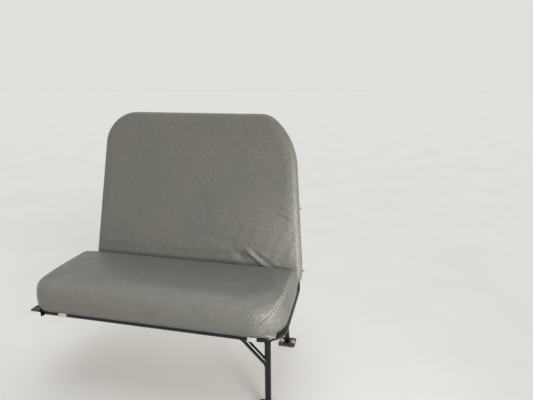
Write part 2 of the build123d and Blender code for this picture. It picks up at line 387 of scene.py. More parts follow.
# Back
# A foam panel over the frame's two uprights, in a fitted cover of grey coated vinyl.
# A front and a rear panel are sewn to a boxing strip, and the cover is closed along the lower edge.
BACK_BASE = 59 * MM
BACK_TOP = 758 * MM
BACK_AISLE_X = 63 * MM
BACK_WALL_X = -884 * MM
BACK_THICKNESS = 88 * MM
# Two of the outline's corners before rounding, in from the aisle side and down from the top
SHOULDER_INSET = 67.6 * MM
SHOULDER_DROP = 105.9 * MM
CROWN_INSET = 180.4 * MM
SHOULDER_RADIUS = 300 * MM
CROWN_RADIUS = 95 * MM
WALL_SHOULDER_RADIUS = 145 * MM
BASE_RADIUS = 22 * MM
BACK_ORIGIN_Y = 123.43 * MM
OUTLINE_POINTS = 420
# The front edge's radius, which grows on the way to the wall
FRONT_EDGE_AISLE_MM = 13
FRONT_EDGE_WALL_MM = 24
EDGE_GROWS_FROM = 60 * MM
EDGE_GROWS_OVER = 250 * MM
REAR_EDGE = 18 * MM
SEAM_IN_EDGE = 0.3
BACK_SWELL = 5 * MM
BACK_SLACK = 0.003
FOAM_PRESSURE = 4
CLOTH_FRAMES = 20
SEAM_SINK = 2.2 * MM
BACK_PUCKERS = 150
CORNER_SAG = 12 * MM
BACK_VOXEL = 8.5 * MM
CRACK_MM = 7


def points_at(path, places):
    """The points that lie these lengths along a path of straight runs."""
    return np.stack([np.interp(places, run_lengths(path), along_axis) for along_axis in path.T], 1)


def rounded_outline(corners, radii):
    """Evenly spaced points of a closed outline whose corners are arcs, counter-clockwise.

    An arc starts radius * tan(turn / 2) before its corner, and its centre is one radius to the left.
    """
    corners = np.array(corners)
    radii = np.array(radii)[:, None]
    before = unit(corners - np.roll(corners, 1, 0))
    after = np.roll(before, -1, 0)
    turn = np.arccos(np.clip((before * after).sum(1), -1, 1))[:, None]
    left = np.stack([-before[:, 1], before[:, 0]], 1)
    start = corners - before * radii * np.tan(turn / 2)
    swing = (turn * np.linspace(0, 1, 17))[..., None]
    points = (start + left * radii)[:, None] + radii[:, None] * (
        before[:, None] * np.sin(swing) - left[:, None] * np.cos(swing)
    )
    points = points.reshape(-1, 2)
    points = np.concatenate([points, points[:1]])
    return points_at(points, np.linspace(0, run_lengths(points)[-1], OUTLINE_POINTS, endpoint=False))


def inward_of(outline):
    """Unit vectors to the left of a counter-clockwise outline's run."""
    tangent = unit(np.roll(outline, -1, 0) - np.roll(outline, 1, 0))
    return np.stack([-tangent[:, 1], tangent[:, 0]], 1)


def pad_rings(outline, profile):
    """Rings of a closed pad from its plan outline: (across, along, level) for each row of a profile.

    A row is (inset, level, share): the outline moved in by the inset, then a share of the way to a
    spine along the middle of the pad, at the level.
    """
    inward = inward_of(outline)
    low, high = outline.min(0), outline.max(0)
    middle = (low[1] + high[1]) / 2
    reach = (high[1] - low[1]) / 2
    rings = []
    for inset, level, share in profile:
        ring = outline + inward * np.broadcast_to(inset, len(outline))[:, None]
        spine_x = np.clip(ring[:, 0], low[0] + reach, high[0] - reach)
        spine = np.stack([spine_x, np.full(len(ring), middle)], 1)
        ring = ring * (1 - share) + spine * share
        rings.append(np.concatenate([ring, np.broadcast_to(level, len(ring))[:, None]], 1))
    return np.array(rings)


def pad_profile(near_radius, far_radius, thickness, crown, bulge):
    """Rows of a pad's section, from the middle of its near face round the edge to that of the far one.

    The near face rises by crown * (1 - (1 - share)^2), the edges are quarter circles, and the side
    between them bulges by a half sine.
    """
    share = np.linspace(0.97, 0, 12)
    rows = [(near_radius, -crown * (1 - (1 - s) ** 2), s) for s in share]
    quarter = np.linspace(0, np.pi / 2, 7)
    rows += [(near_radius * (1 - np.sin(a)), near_radius * (1 - np.cos(a)), 0) for a in quarter[1:]]
    flat = thickness - near_radius - far_radius
    side = np.linspace(0, 1, 8)[1:-1]
    rows += [(-bulge * np.sin(np.pi * s), near_radius + flat * s, 0) for s in side]
    rows += [(far_radius * (1 - np.cos(a)), thickness - far_radius * (1 - np.sin(a)), 0) for a in quarter]
    rows += [(far_radius, thickness, s) for s in share[::-1][1:]]
    return rows


def points_of(piece, field="co"):
    """The points of a mesh as an array, or the normals there."""
    values = np.empty(len(piece.data.vertices) * 3, np.float32)
    piece.data.vertices.foreach_get(field, values)
    return values.reshape(-1, 3).astype(float)


def new_points(piece, points):
    """Writes an array of points into a mesh."""
    piece.data.vertices.foreach_set("co", points.astype(np.float32).ravel())
    piece.data.update()


def push_out(piece, distances):
    """Moves each point of a mesh along its normal."""
    new_points(piece, points_of(piece) + points_of(piece, "normal") * distances[:, None])


def apply_modifiers(piece):
    """Keeps the shape that a piece's modifiers give, and takes the modifiers off."""
    piece.data.update()
    evaluated = piece.evaluated_get(bpy.context.evaluated_depsgraph_get())
    mesh = bpy.data.meshes.new_from_object(evaluated)
    piece.modifiers.clear()
    old = piece.data
    piece.data = mesh
    bpy.data.meshes.remove(old)
    piece.data.polygons.foreach_set("use_smooth", [True] * len(piece.data.polygons))


def remesh(piece, voxel):
    """Even quads about a voxel wide over a closed piece."""
    modifier = piece.modifiers.new("even_quads", "REMESH")
    modifier.mode = "VOXEL"
    modifier.voxel_size = voxel
    modifier.use_smooth_shade = True
    apply_modifiers(piece)


def inflate(piece, held, most, slack):
    """Swells a cover with foam's pressure in a cloth simulation, where it isn't held.

    held is how firmly each point stays, from 0 to 1. slack is how much wider than the foam the cover was
    cut. No point moves out by more than most or in by more than a sixth of it, and held points move less.
    """
    start = points_of(piece)
    outwards = points_of(piece, "normal")
    group = piece.vertex_groups.new(name="held")
    for level in np.unique(np.round(held, 1)):
        group.add(np.flatnonzero(np.round(held, 1) == level).tolist(), float(level), "REPLACE")
    cloth = piece.modifiers.new("cover", "CLOTH")
    cloth.settings.quality = 5
    cloth.settings.mass = 0.3
    cloth.settings.tension_stiffness = 15
    cloth.settings.compression_stiffness = 15
    cloth.settings.shear_stiffness = 5
    cloth.settings.bending_stiffness = 0.5
    cloth.settings.use_pressure = True
    cloth.settings.uniform_pressure_force = FOAM_PRESSURE
    cloth.settings.shrink_min = -slack
    cloth.settings.vertex_group_mass = "held"
    cloth.settings.effector_weights.gravity = 0
    cloth.collision_settings.use_collision = False
    scene = bpy.context.scene
    for step in range(CLOTH_FRAMES):
        scene.frame_set(step + 1)
    apply_modifiers(piece)
    scene.frame_set(1)
    piece.vertex_groups.clear()
    move = points_of(piece) - start
    size = np.linalg.norm(move, axis=1)[:, None]
    move *= np.minimum(1, most / np.maximum(size, 1e-9)) * (1 - held[:, None])
    out = (move * outwards).sum(1)[:, None]
    new_points(piece, start + move + outwards * (np.maximum(out, -most / 6) - out))


def subdivide(piece):
    """Divides each face in four, smoothly."""
    modifier = piece.modifiers.new("smooth", "SUBSURF")
    modifier.levels = 1
    modifier.render_levels = 1
    apply_modifiers(piece)


def along_path(points, path):
    """Each point's distance from a path of straight runs, and its nearest place's share of the way."""
    path = np.asarray(path, float)
    runs = np.diff(path, axis=0)
    lengths = np.linalg.norm(runs, axis=1)
    total = lengths.sum()
    nearest = np.full(len(points), np.inf)
    place = np.zeros(len(points))
    done = 0
    for start, run, length in zip(path, runs, lengths):
        share = np.clip(((points - start) @ run) / length**2, 0, 1)
        distance = np.linalg.norm(points - start - share[:, None] * run, axis=1)
        closer = distance < nearest
        nearest = np.where(closer, distance, nearest)
        place = np.where(closer, (done + share * length) / total, place)
        done += length
    return nearest, place


def surface_under(piece):
    """A finished piece's surface, to find the nearest place on it."""
    faces = [list(face.vertices) for face in piece.data.polygons]
    return BVHTree.FromPolygons(points_of(piece).tolist(), faces)


def on_surface(tree, path):
    """The nearest places on a surface to a path's points, and the surface's normals there."""
    hits = [tree.find_nearest(Vector(point)) for point in path]
    return np.array([hit[0] for hit in hits]), np.array([hit[1] for hit in hits])


def even_path(path, spacing):
    """Points evenly spaced from end to end of a path of straight runs, about this far apart."""
    length = run_lengths(path)[-1]
    return points_at(path, np.linspace(0, length, max(int(length / spacing), 2) + 1))


def bell(distance, width):
    """1 at no distance, falling off as exp(-(distance / width)^2)."""
    return np.exp(-((distance / width) ** 2))


def ramp(distance, over):
    """0 up to no distance, then rising evenly to 1 over a distance."""
    return np.clip(distance / over, 0, 1)


def raise_folds(piece, folds):
    """Raises folds on a piece, each along a path laid on its surface.

    The rise is a bell across the path, and it fades out at both ends by a half sine.
    """
    tree = surface_under(piece)
    for path, width, height in folds:
        distance, place = along_path(points_of(piece), on_surface(tree, even_path(path, 8 * MM))[0])
        push_out(piece, height * bell(distance, width) * np.sin(np.pi * place))


def back_point(across, up_slope, depth=0.0):
    """Where a place in the back's own plane lies: across, up the slope, and behind its front face."""
    return np.stack(
        [
            np.asarray(across, float) + 0 * np.asarray(up_slope),
            BACK_ORIGIN_Y + np.sin(RECLINE) * np.asarray(up_slope) + np.cos(RECLINE) * depth,
            TUBE_HEIGHT + np.cos(RECLINE) * np.asarray(up_slope) - np.sin(RECLINE) * depth,
        ],
        -1,
    )


def cover_material(name, grain_mm, warm, cool):
    """Coated vinyl on a knit: leather grain, pale and cracked where scuffed thin, wrinkled where creased; the
    same pale colour paints highlights, and a dark colour paints shade.
    """
    material = make_material(name, Roughness=0.4, Sheen_Weight=0.1, Sheen_Roughness=0.4)
    clouds = add_node(material, "ValToRGB", {"Fac": noise(material, 260)}, [(0.3, cool), (0.7, warm)])
    fine = {"Fac": noise(material, 8, stretch=(1, 1, 1.6), detail=6)}
    mottle = add_node(material, "ValToRGB", fine, [(0.32, "#e8e8e5"), (0.68, "#ffffff")])
    both = {"Fac": 1.0, "Color1": clouds, "Color2": mottle}
    drawn = add_node(material, "MixRGB", both, blend_type="MULTIPLY")
    # A pale colour mixed in by an attribute: scuffing, and painted highlights
    wear_and_highlight = add_node(material, "Attribute", attribute_name="wear_and_highlight").outputs["Fac"]
    place = add_node(material, "TexCoord").outputs["Object"]
    cells = {"Vector": place, "Scale": 1 / (CRACK_MM * MM)}
    edges = add_node(material, "TexVoronoi", cells, feature="DISTANCE_TO_EDGE")
    crack = add_node(material, "MapRange", {"Value": edges, "From Max": 0.12, "To Min": 1.0, "To Max": 0.0})
    cracked = {0: crack, 1: wear_and_highlight, 2: wear_and_highlight}
    pale_mask = add_node(material, "Math", cracked, operation="MULTIPLY_ADD", use_clamp=True)
    pale_wear_and_highlight = add_node(material, "MixRGB", {"Fac": pale_mask, "Color1": drawn, "Color2": srgb("#b5b0a7")})
    # A dark colour mixed in by an attribute: painted shade
    painted_shade = add_node(material, "Attribute", attribute_name="painted_shade").outputs["Fac"]
    with_painted_shade = add_node(material, "MixRGB", {"Fac": painted_shade, "Color1": pale_wear_and_highlight, "Color2": srgb("#33322e")})
    handled = {"Value": noise(material, 40), "From Min": 0.35, "From Max": 0.7}
    gloss = add_node(material, "MapRange", {**handled, "To Min": 0.38, "To Max": 0.54})
    creased = add_node(material, "Attribute", attribute_name="creased").outputs["Fac"]
    depth = add_node(material, "MapRange", {"Value": creased, "To Min": 0.15, "To Max": 0.9})
    slack = add_node(material, "Bump", {"Height": noise(material, 75), "Distance": 5 * MM, "Strength": 0.5})
    lines = {"Height": noise(material, 16, stretch=(1.6, 1, 1), detail=4), "Distance": 4.5 * MM}
    wrinkles = add_node(material, "Bump", {**lines, "Strength": depth, "Normal": slack})
    pores = {"Height": noise(material, grain_mm), "Distance": 0.3 * MM, "Strength": 0.5}
    grain = add_node(material, "Bump", {**pores, "Normal": wrinkles})
    feed(material, Base_Color=with_painted_shade, Roughness=gloss, Normal=grain)
    return material


def shade(piece, name, values):
    """Stores a value from 0 to 1 at each point, for the material to read."""
    attribute = piece.data.attributes.new(name, "FLOAT", "POINT")
    attribute.data.foreach_set("value", np.clip(values, 0, 1).astype(np.float32))


# The grain is drawn 3 mm wide, about twice the real one, so that it shows
vinyl = cover_material("grey_coated_vinyl", grain_mm=3, warm="#79766f", cool="#71726c")

back_corners = [
    (BACK_AISLE_X, BACK_BASE),
    (BACK_AISLE_X - SHOULDER_INSET, BACK_TOP - SHOULDER_DROP),
    (BACK_AISLE_X - CROWN_INSET, BACK_TOP),
    (BACK_WALL_X, BACK_TOP),
    (BACK_WALL_X, BACK_BASE),
]
back_radii = [BASE_RADIUS, SHOULDER_RADIUS, CROWN_RADIUS, WALL_SHOULDER_RADIUS, BASE_RADIUS]
back_outline = rounded_outline(back_corners, back_radii)
towards_wall = ramp(BACK_AISLE_X - back_outline[:, 0] - EDGE_GROWS_FROM, EDGE_GROWS_OVER)
front_edge = (FRONT_EDGE_AISLE_MM + (FRONT_EDGE_WALL_MM - FRONT_EDGE_AISLE_MM) * towards_wall) * MM
rear_edge = np.full(OUTLINE_POINTS, REAR_EDGE)
rings = pad_rings(back_outline, pad_profile(front_edge, rear_edge, BACK_THICKNESS, 2 * MM, 1 * MM))
back_points = back_point(rings[..., 0], rings[..., 1], rings[..., 2])
back_cover = make_mesh("back_cover", back_points, ring_faces(*rings.shape[:2]), vinyl)
remesh(back_cover, BACK_VOXEL)


def slope_of(points):
    """Place of points in the back's own plane: across, up the slope, and behind its front face."""
    away = points - (0, BACK_ORIGIN_Y, TUBE_HEIGHT)
    along = away[:, 1] * np.sin(RECLINE) + away[:, 2] * np.cos(RECLINE)
    behind = away[:, 1] * np.cos(RECLINE) - away[:, 2] * np.sin(RECLINE)
    return points[:, 0], along, behind


def back_seam(inset, depth):
    """Points of a seam round the back at an inset and a depth, in order, from above its lower edge."""
    ring = back_outline + inward_of(back_outline) * inset[:, None]
    above_base = back_outline[:, 1] > BACK_BASE + 20 * MM
    first = np.argmax(above_base & ~np.roll(above_base, 1))
    return np.roll(back_point(ring[:, 0], ring[:, 1], depth), -first, 0)[: above_base.sum()]


front_seam = back_seam(front_edge * SEAM_IN_EDGE, front_edge * SEAM_IN_EDGE)
rear_seam = back_seam(rear_edge * SEAM_IN_EDGE, BACK_THICKNESS - rear_edge * SEAM_IN_EDGE)

points = points_of(back_cover)
near_front, _ = along_path(points, front_seam[::6])
near_rear, _ = along_path(points, rear_seam[::6])
# Held at its seams, and low down, where the cushion presses on it
_, up_slope, _ = slope_of(points)
held = bell(np.minimum(near_front, near_rear), 14 * MM)
held = np.maximum(held, ramp(BACK_BASE + 100 * MM - up_slope, 50 * MM))
inflate(back_cover, held, BACK_SWELL, BACK_SLACK)
subdivide(back_cover)

BACK_FOLDS = [
    # places (across, up the slope) in mm, width and height of the fold in mm
    ([(-196, 190), (-166, 166), (-134, 140), (-106, 121), (-80, 107), (-50, 96)], 8, 9),
    ([(-206, 178), (-174, 150), (-142, 124), (-114, 105), (-88, 91)], 7, -4.5),
    ([(-262, 196), (-222, 165), (-178, 130), (-140, 102), (-112, 84)], 18, -7),
    ([(-160, 180), (-126, 151), (-96, 130), (-68, 114), (-36, 102)], 5.5, -5),
    ([(-150, 192), (-100, 156), (-58, 130), (-30, 104)], 10, 3),
    ([(-340, 205), (-270, 204), (-210, 220)], 18, -3),
    ([(-60, 340), (-26, 330), (-2, 318), (24, 302)], 5, 3),
    ([(-60, 326), (-28, 316), (-4, 304), (22, 288)], 5, -2.5),
    ([(-50, 370), (-14, 357), (16, 340)], 6, 3),
    ([(-10, 262), (20, 258), (46, 250)], 5, 2.5),
    ([(-14, 236), (20, 231), (48, 223)], 5, -2.5),
    ([(-16, 210), (20, 204), (50, 197)], 5, 2.5),
    ([(-4, 182), (28, 177), (54, 171)], 5, -2.2),
    ([(-760, 180), (-640, 168), (-520, 176)], 24, -3),
]
back_folds = [
    (back_point(*(np.array(places).T * MM)), width * MM, height * MM) for places, width, height in BACK_FOLDS
]
raise_folds(back_cover, back_folds)
# Slack in the cover: two crossed waves, sin a * sin b, strongest low at the aisle end
across_x, up_slope, behind = slope_of(points_of(back_cover))
loose = bell(across_x + 50 * MM, 300 * MM) * bell(up_slope - 160 * MM, 170 * MM) * (behind < 30 * MM)
waves = np.sin(across_x * 62 + up_slope * 48 + 1) * np.sin(across_x * 41 - up_slope * 83)
push_out(back_cover, 1.6 * MM * loose * waves)
# The low corner at the aisle end hangs down and in
across_x, up_slope, behind = slope_of(points_of(back_cover))
sag = bell(across_x - BACK_AISLE_X, 50 * MM) * bell(up_slope - BACK_BASE, 45 * MM)
new_points(back_cover, back_point(across_x - 3 * MM * sag, up_slope - CORNER_SAG * sag, behind))
for seam in (front_seam, rear_seam):
    distance, place = along_path(points_of(back_cover), seam[::3])
    pucker = 1 + 0.35 * np.sin(2 * np.pi * place * BACK_PUCKERS)
    push_out(back_cover, -SEAM_SINK * bell(distance, 5 * MM) * pucker)

# Pale at the front seam's aisle end: scuffing, and a painted highlight where the rim catches light
points = points_of(back_cover)
distance, _ = along_path(points, front_seam[::3])
across_x, up_slope, behind = slope_of(points)
pale_wear_and_highlight = 0.4 * bell(distance, 11 * MM) * (across_x > -150 * MM)
pale_wear_and_highlight *= ramp(700 * MM - up_slope, 200 * MM)
# A paler patch low at the aisle end: painted light where the light falls brightest, as well as scuffing
low_corner = bell(across_x - 10 * MM, 110 * MM) * bell(up_slope - 200 * MM, 160 * MM) * (behind < 40 * MM)
# The longest fold's ridge is painted pale: a painted highlight
on_fold, place = along_path(points, back_folds[0][0])
ridge = bell(on_fold, 12 * MM) * np.sin(np.pi * place)
shade(back_cover, "wear_and_highlight", pale_wear_and_highlight + 0.2 * low_corner + 0.3 * ridge)
# A dark line along the front seam: painted shade in its groove
shade(back_cover, "painted_shade", 0.3 * bell(distance, 3 * MM))
slack_area = bell(across_x - 20 * MM, 220 * MM) * bell(up_slope - 180 * MM, 200 * MM)
shade(back_cover, "creased", 0.15 + 0.85 * slack_area)
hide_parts("back_pad")
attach(back_cover, "frame")

# Seams
# Each seam is a lap of the cover turned under and sewn down with pale thread, a stitch every 9 mm.
LAP_WIDTH = 3 * MM
LAP_HEIGHT = 0.9 * MM
STITCH_PITCH = 9 * MM
STITCH_LENGTH = 5.5 * MM
THREAD_RADIUS = 0.6 * MM
BACK_STITCH_OFFSET = 3.4 * MM


def laid_on(tree, path):
    """A path laid on a surface: its places, the normals there, and unit vectors along it and to its side."""
    place, normal = on_surface(tree, path)
    tangent = unit(np.gradient(place, axis=0))
    return place, normal, tangent, unit(np.cross(tangent, normal))


def lap(tree, path):
    """Rings of a low ridge along a path on a surface, each an ellipse, small at the path's ends."""
    place, normal, _, side = laid_on(tree, path)
    angle = circle(10)[:, None]
    ellipse = LAP_WIDTH / 2 * np.cos(angle) * side[:, None] + LAP_HEIGHT * np.sin(angle) * normal[:, None]
    ends = np.sin(np.pi * np.linspace(0, 1, len(place)))[:, None, None] ** 0.15
    return place[:, None] + ellipse * ends


def thread_round(line, out, up, radius):
    """Rings of a thread or wire along a line, its radius given at each point of the line."""
    angle = circle(6)[:, None]
    return line[:, None] + radius[:, None, None] * (np.cos(angle) * out + np.sin(angle) * up)


def stitches(tree, path, beside):
    """Threads along a path on a surface, a little to one side, as thick as sqrt(1.04 - along^2)."""
    place, normal, tangent, side = laid_on(tree, path)
    centre = place + side * beside + normal * 0.3 * MM
    along = np.linspace(-1, 1, 5)
    radius = THREAD_RADIUS * np.sqrt(1.04 - along**2)
    return [
        thread_round(middle + forward * (along[:, None] * STITCH_LENGTH / 2), out, up, radius)
        for middle, forward, out, up in zip(centre, tangent, side, normal)
    ]


# Bonded polyester thread: pale grey, twisted, with a soft sheen
thread = make_material("polyester_thread", Roughness=0.6, Sheen_Weight=0.3)
twist = add_node(thread, "ValToRGB", {"Fac": noise(thread, 1.2)}, [(0.4, "#85837b"), (0.6, "#aaa79d")])
feed(thread, Base_Color=twist)

tree = surface_under(back_cover)
back_runs = [even_path(seam, 5 * MM) for seam in (front_seam, rear_seam)]
back_laps = make_mesh("back_seams", *many([lap(tree, run) for run in back_runs]), vinyl)
across_x, up_slope, behind = slope_of(points_of(back_laps))
# Pale on the aisle end of the seam's lap: scuffing, and a painted highlight where the rim catches light
pale_wear_and_highlight = ramp(across_x + 100 * MM, 80 * MM) * ramp(660 * MM - up_slope, 200 * MM) * (behind < 40 * MM)
shade(back_laps, "wear_and_highlight", pale_wear_and_highlight * (0.5 + 0.3 * np.sin(up_slope * 130) * np.sin(up_slope * 47 + 2)))
back_threads = []
for seam in (front_seam, rear_seam):
    back_threads += stitches(tree, even_path(seam, STITCH_PITCH), BACK_STITCH_OFFSET)
back_stitches = make_mesh("back_stitches", *many(back_threads), thread)
for piece in (back_laps, back_stitches):
    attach(piece, "frame")

# Closure and tabs of the back
# The back's cover is closed underneath by a folded strip of vinyl, sewn on along both its edges.
# Two small tabs of the same vinyl stand out of its aisle side near the rear edge, worn pale.
STRIP_WIDTH = 30 * MM
STRIP_THICKNESS = 1.6 * MM
STRIP_ENDS = (-850 * MM, 30 * MM)
STRIP_DROP = 0.6 * MM
STRIP_STITCH_DROP = 1.6 * MM
STRIP_STITCH_OFFSET = 11 * MM
TAB_REACH = 9 * MM
TAB_HALF_WIDTH = 6 * MM
TAB_HALF_THICKNESS = 1.4 * MM
TABS = [
    # across, up the slope and behind in mm, of each tab's root
    (27.5, 362, 80),
    (57, 98, 74),
]
along = np.linspace(*STRIP_ENDS, 90)
angle = circle(24)
# A section with round edges: half its width times |cos|^(1/4), half its thickness times |sin|^(1/2)
wide = STRIP_WIDTH / 2 * np.sign(np.cos(angle)) * abs(np.cos(angle)) ** 0.25
thick = STRIP_THICKNESS / 2 * np.sign(np.sin(angle)) * abs(np.sin(angle)) ** 0.5
lift = 0.5 * MM * np.sin(along * 90)[:, None]
strip = back_point(
    along[:, None] + 0 * wide, BACK_BASE - STRIP_DROP + thick + lift, BACK_THICKNESS / 2 + wide + 0 * lift
)
back_closure = make_mesh("back_closure", *many([strip]), vinyl)
stitched = np.arange(*STRIP_ENDS, STITCH_PITCH)[1:-1]
stitch_slope = np.full(len(stitched), BACK_BASE - STRIP_STITCH_DROP)
closure_line = back_point(stitched, stitch_slope, BACK_THICKNESS / 2)
closure_threads = []
for side in (-1, 1):
    closure_threads += stitches(surface_under(back_closure), closure_line, side * STRIP_STITCH_OFFSET)
closure_stitches = make_mesh("closure_stitches", *many(closure_threads), thread)
tabs = []
for across_mm, up_mm, behind_mm in TABS:
    # From 3 mm inside the cover outwards: an ellipse that narrows as the square of its reach
    reach = np.linspace(-3 * MM, TAB_REACH, 9)[:, None]
    taper = TAB_HALF_WIDTH * (1 - 0.35 * ramp(reach, TAB_REACH) ** 2)
    tabs.append(
        back_point(
            across_mm * MM + reach + 0 * angle,
            up_mm * MM + taper * np.cos(angle) - 0.25 * reach,
            behind_mm * MM + TAB_HALF_THICKNESS * np.sin(angle) + 0 * reach,
        )
    )
back_tabs = make_mesh("back_tabs", *many(tabs), vinyl)
shade(back_tabs, "wear_and_highlight", np.full(len(back_tabs.data.vertices), 0.8))
for piece in (back_closure, closure_stitches, back_tabs):
    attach(piece, "frame")

# Cushion board
# A sheet of 12 mm plywood that carries the seat's foam, bare underneath, its edges inside the cover.
# Its face veneer runs along the seat, tan and dusty.
plywood = make_material("plywood", Roughness=0.7)
tans = [(0.3, "#8a6c48"), (0.5, "#a98a60"), (0.7, "#bda27a")]
streaks = {"Fac": noise(plywood, 5, stretch=(40, 1, 1), detail=5)}
veneer = add_node(plywood, "ValToRGB", streaks, tans)
raised = {"Height": noise(plywood, 1.5, stretch=(30, 1, 1)), "Distance": 0.3 * MM, "Strength": 0.5}
fibres = add_node(plywood, "Bump", raised)
feed(plywood, Base_Color=veneer, Normal=fibres)
coat("cushion_board", plywood)

# Cushion
# Foam glued to the board, under a cover of the same vinyl drawn tight and turned under the board.
# A gusset is sewn in at the aisle end, and the cover is folded at the front corner below it.
CUSHION_LOW, CUSHION_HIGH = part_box("cushion_pad")
CUSHION_RIM = 388.6 * MM
CUSHION_FRONT_RADIUS = 30 * MM
CUSHION_REAR_RADIUS = 20 * MM
CUSHION_WRAP = 6 * MM
CUSHION_GAP = 12.5 * MM
WALL_CORNER_RADIUS = 85 * MM
AISLE_CORNER_RADIUS = 115 * MM
REAR_CORNER_RADIUS = 24 * MM
CUSHION_CROWN = 11 * MM
CUSHION_DOME = 3 * MM
CUSHION_BULGE = 3 * MM
CUSHION_VOXEL = 6.5 * MM
CUSHION_SWELL = 8 * MM
CUSHION_SLACK = 0.006
REAR_GROWTH = 5 * MM
BOARD_SHOWS = 2.6 * MM
GUSSET_PUCKERS = 34
GUSSET_STITCH_OFFSET = 3.2 * MM
hem_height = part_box("cushion_cover_hem")[0][2]

# The cushion ends a gap in front of the back's face, which leans
rear_at_board = BACK_ORIGIN_Y - CUSHION_GAP / np.cos(RECLINE)
rear_at_board += (CUSHION_LOW[2] - TUBE_HEIGHT) * np.tan(RECLINE)
cushion_corners = [
    (CUSHION_LOW[0], CUSHION_LOW[1]),
    (CUSHION_HIGH[0], CUSHION_LOW[1]),
    (CUSHION_HIGH[0], rear_at_board),
    (CUSHION_LOW[0], rear_at_board),
]
cushion_radii = [WALL_CORNER_RADIUS, AISLE_CORNER_RADIUS, REAR_CORNER_RADIUS, REAR_CORNER_RADIUS]
cushion_outline = rounded_outline(cushion_corners, cushion_radii)
board_depth = rear_at_board - CUSHION_LOW[1]
backwards = (cushion_outline[:, 1] - CUSHION_LOW[1]) / board_depth
tighter = CUSHION_REAR_RADIUS - CUSHION_FRONT_RADIUS
top_radius = CUSHION_FRONT_RADIUS + tighter * np.clip(backwards * 2 - 1, 0, 1)
thickness = CUSHION_RIM - CUSHION_LOW[2]
wrap = np.full(OUTLINE_POINTS, CUSHION_WRAP)
rings = pad_rings(cushion_outline, pad_profile(top_radius, wrap, thickness, CUSHION_DOME, CUSHION_BULGE))
backwards = np.clip((rings[..., 1] - CUSHION_LOW[1]) / board_depth, 0, 1.1)
# The top is an arch from front to rear, 1 - (2 * share - 1)^2, that fades out down the sides
height = CUSHION_LOW[2] + thickness - rings[..., 2]
upper = ramp(height - CUSHION_LOW[2], thickness) ** 2
height = height + CUSHION_CROWN * upper * (1 - (2 * np.clip(backwards, 0, 1) - 1) ** 2)
# The rear face leans with the back: the rings move rearwards by the cube of their share of the depth
depth = rings[..., 1] + backwards**3 * ((height - CUSHION_LOW[2]) * np.tan(RECLINE) + REAR_GROWTH)
cushion_points = np.stack([rings[..., 0], depth, height], -1)
cushion_cover = make_mesh("cushion_cover", cushion_points, ring_faces(*rings.shape[:2]), vinyl)
remesh(cushion_cover, CUSHION_VOXEL)

GUSSET_SEAM = np.array([
    (42, 176, 376), (38, 122, 383), (31, 33, 385), (28, -112, 386), (20, -162, 383),
    (8, -191, 373), (-13, -213, 354), (-34, -221, 337), (-58, -225, 318),
]) * MM
points = points_of(cushion_cover)
# Held in part at the gusset's seam, and fully round the board and at the rear, by the back
near_seam, _ = along_path(points, GUSSET_SEAM)
held = 0.6 * bell(near_seam, 16 * MM)
held = np.maximum(held, ramp(CUSHION_LOW[2] + 16 * MM - points[:, 2], 12 * MM))
rear_face = rear_at_board + REAR_GROWTH + (points[:, 2] - CUSHION_LOW[2]) * np.tan(RECLINE)
held = np.maximum(held, ramp(points[:, 1] - rear_face + 34 * MM, 22 * MM))
inflate(cushion_cover, held, CUSHION_SWELL, CUSHION_SLACK)
# Evened out, apart from its low edge, which stays round the board
drawn_tight = points_of(cushion_cover)
evened = cushion_cover.modifiers.new("evened", "SMOOTH")
evened.iterations = 5
apply_modifiers(cushion_cover)
low_edge = ramp(CUSHION_LOW[2] + 22 * MM - drawn_tight[:, 2:], 10 * MM)
new_points(cushion_cover, drawn_tight * low_edge + points_of(cushion_cover) * (1 - low_edge))
subdivide(cushion_cover)

CUSHION_FOLDS = [
    # places in mm, width and height of the fold in mm
    ([(50, 60, 372), (56, 54, 350), (58, 50, 325)], 7, -1.6),
    ([(50, 12, 372), (55, 6, 350), (57, 2, 322)], 6, 1.8),
    ([(49, -30, 370), (54, -38, 350), (56, -44, 322)], 6, -2.2),
    ([(47, -68, 370), (53, -80, 350), (55, -90, 322)], 6, 2.4),
    ([(44, -104, 370), (50, -116, 350), (51, -128, 322)], 6, -2.6),
    ([(38, -138, 368), (44, -150, 348), (42, -164, 320)], 6, 2.6),
    ([(26, -168, 364), (31, -180, 344), (26, -192, 316)], 6, -2.8),
    ([(10, -194, 354), (14, -203, 334), (10, -211, 310)], 6, 2.6),
    ([(24, -190, 338), (22, -200, 318), (20, -205, 298)], 7, 4),
    ([(-10, -214, 336), (-4, -217, 316), (6, -214, 298)], 7, -3),
    ([(-44, -226, 326), (-30, -225, 308), (-20, -223, 294)], 7, 2.2),
    ([(-330, -226, 372), (-250, -228, 350), (-200, -228, 322)], 20, -2.5),
    ([(-520, -226, 366), (-460, -228, 346), (-430, -228, 320)], 18, -2),
]
cushion_folds = [
    (np.array(places) * MM, width * MM, height * MM) for places, width, height in CUSHION_FOLDS
]
raise_folds(cushion_cover, cushion_folds)
# The gusset's seam sinks into the foam, with a sine of puckers along it
seam_line, _ = on_surface(surface_under(cushion_cover), even_path(GUSSET_SEAM, 6 * MM))
distance, place = along_path(points_of(cushion_cover), seam_line)
pucker = np.sin(2 * np.pi * place * GUSSET_PUCKERS)
sink = SEAM_SINK * bell(distance, 4.5 * MM) - 1.1 * MM * pucker * bell(distance, 10 * MM)
push_out(cushion_cover, -sink * np.clip((1 - place) * 6, 0, 1))
# Pale on the puckers, most near the front corner: scuffing, and painted highlights on the puckers' crests
pale_wear_and_highlight = bell(distance, 8 * MM) * np.clip((0.86 - place) * 5, 0, 1)
pale_wear_and_highlight *= 0.2 + np.clip(pucker, 0, 1) * (0.25 + 0.9 * bell(place - 0.7, 0.14))

